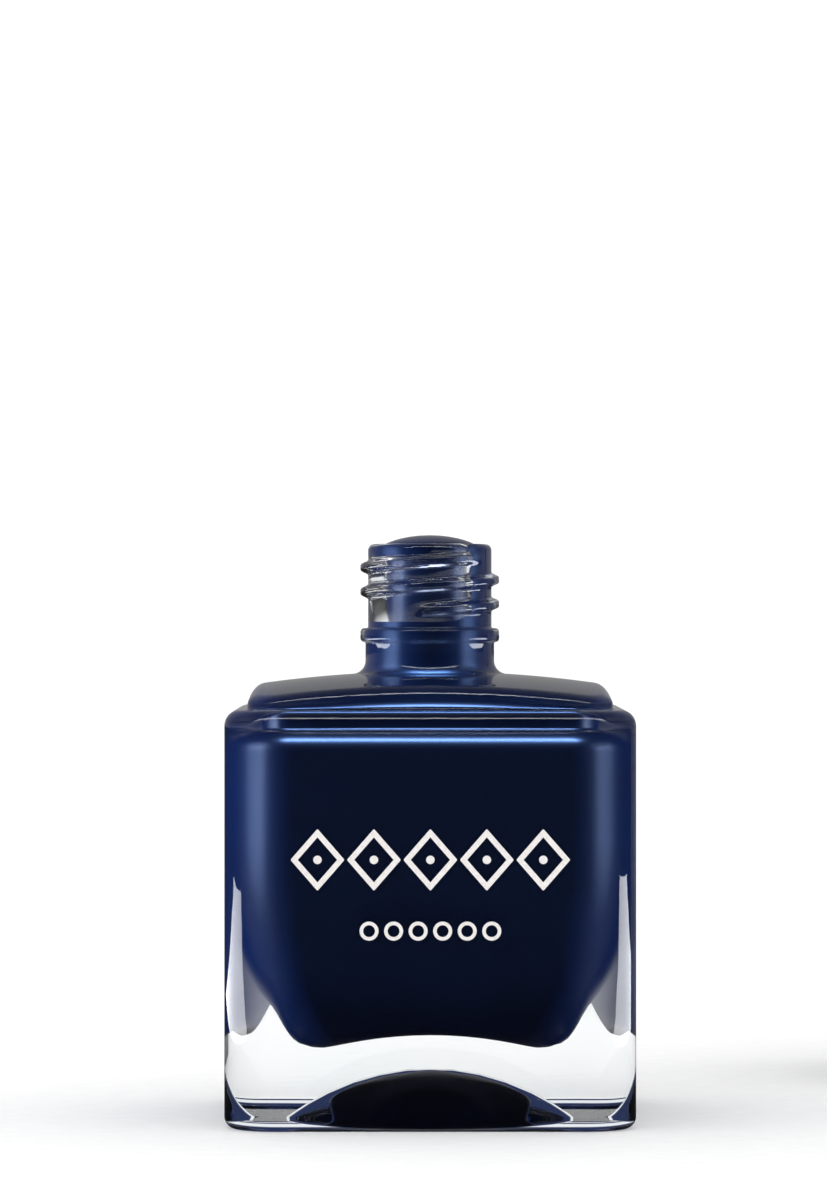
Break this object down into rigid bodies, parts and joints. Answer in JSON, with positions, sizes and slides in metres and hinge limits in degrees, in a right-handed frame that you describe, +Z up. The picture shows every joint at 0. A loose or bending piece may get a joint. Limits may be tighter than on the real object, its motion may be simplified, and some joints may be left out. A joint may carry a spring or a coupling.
{
  "type": "nail polish bottle",
  "caption": "Square glass nail polish bottle, open and full of dark lacquer, with stirring balls inside and a square overcap, screw cap and brush standing beside it.",
  "frame": {"origin": "middle of the ring that the bottle stands on, on the bottle's own axis", "axes": "+Z up along the neck, -Y out of the printed front face, +X to the right when looking at the print"},
  "size_m": [0.0865, 0.0715, 0.0626],
  "materials": {
    "clear_glass": "clear flint glass, blown and fire polished",
    "lacquer": "near-black navy nitrocellulose lacquer, wet gloss",
    "print_ink": "off-white screen-printing ink, satin",
    "ball_steel": "polished stainless steel",
    "overcap_finish": "moulded ABS with a satin silver metallised coat",
    "insert_plastic": "natural polypropylene",
    "screw_cap_plastic": "moulded black polypropylene, satin",
    "stem_plastic": "black polyethylene",
    "staple_brass": "flat brass wire",
    "bristle_nylon": "fine nylon filaments wet with lacquer"
  },
  "bodies": {
    "bottle": {"glass_bottle": "clear_glass", "polish": "lacquer", "front_ornament": "print_ink", "front_rule": "print_ink"},
    "ball_1": {"mixing_ball_1": "ball_steel"},
    "ball_2": {"mixing_ball_2": "ball_steel"},
    "overcap": {"overcap": "overcap_finish", "overcap_insert": "insert_plastic"},
    "applicator": {"inner_cap": "screw_cap_plastic", "brush_stem": "stem_plastic", "brush_staple": "staple_brass", "bristles": "bristle_nylon"}
  },
  "joints": [
    {"name": "cap_lift", "type": "slide", "parent": "bottle", "child": "overcap", "axis": [0, 0, 1], "range_m": [0, 0.055]},
    {"name": "applicator_pull", "type": "slide", "parent": "overcap", "child": "applicator", "axis": [0, 0, 1], "range_m": [0, 0.024]},
    {"name": "ball_1_rise", "type": "slide", "parent": "bottle", "child": "ball_1", "axis": [0, 0, 1], "range_m": [0, 0.018], "deforming": ["polish"]},
    {"name": "ball_2_rise", "type": "slide", "parent": "bottle", "child": "ball_2", "axis": [0, 0, 1], "range_m": [0, 0.018]}
  ]
}
